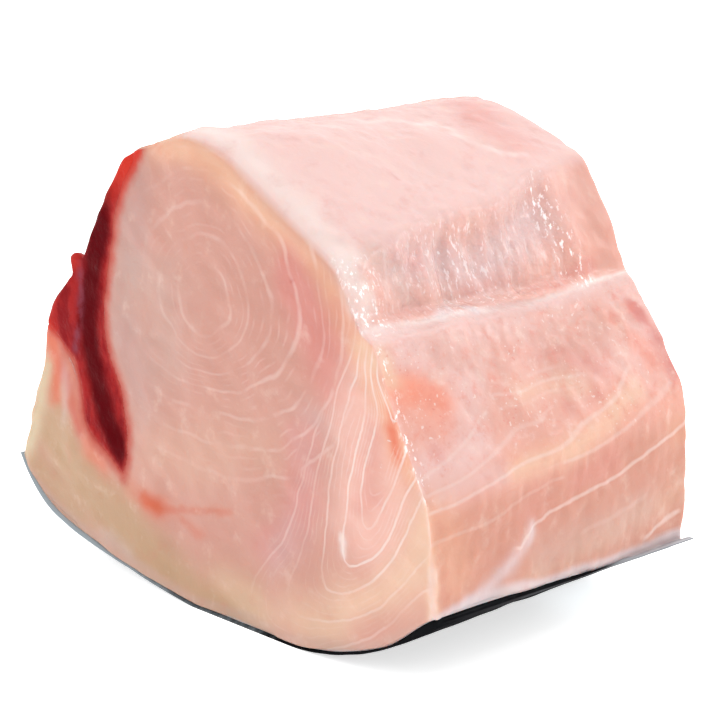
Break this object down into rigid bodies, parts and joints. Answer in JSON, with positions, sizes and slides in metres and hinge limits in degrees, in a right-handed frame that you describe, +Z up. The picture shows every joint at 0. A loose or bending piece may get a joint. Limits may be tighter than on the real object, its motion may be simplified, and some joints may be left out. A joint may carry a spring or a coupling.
{
  "type": "swordfish loin",
  "caption": "Skin-on block of swordfish loin: pale pink ringed muscle with two cut ends, a dark blood line down one side, a stepped flank and dark skin underneath.",
  "frame": {"origin": "middle of the underside of the skin, where the loin rests", "axes": "+X across the loin, away from the blood line; +Y along the fish, away from the near cut face; +Z up"},
  "size_m": [0.2146, 0.1272, 0.1651],
  "materials": {
    "flesh": "moist raw fish muscle: pale pink to cream, with thin white rings and lines of connective tissue",
    "blood_line": "moist dark red muscle, brighter red at its thin edges",
    "skin": "wet dark grey fish skin with a paler blue-grey edge"
  },
  "bodies": {
    "root": {"white_muscle": "flesh", "blood_line": "blood_line", "skin": "skin"}
  },
  "joints": []
}
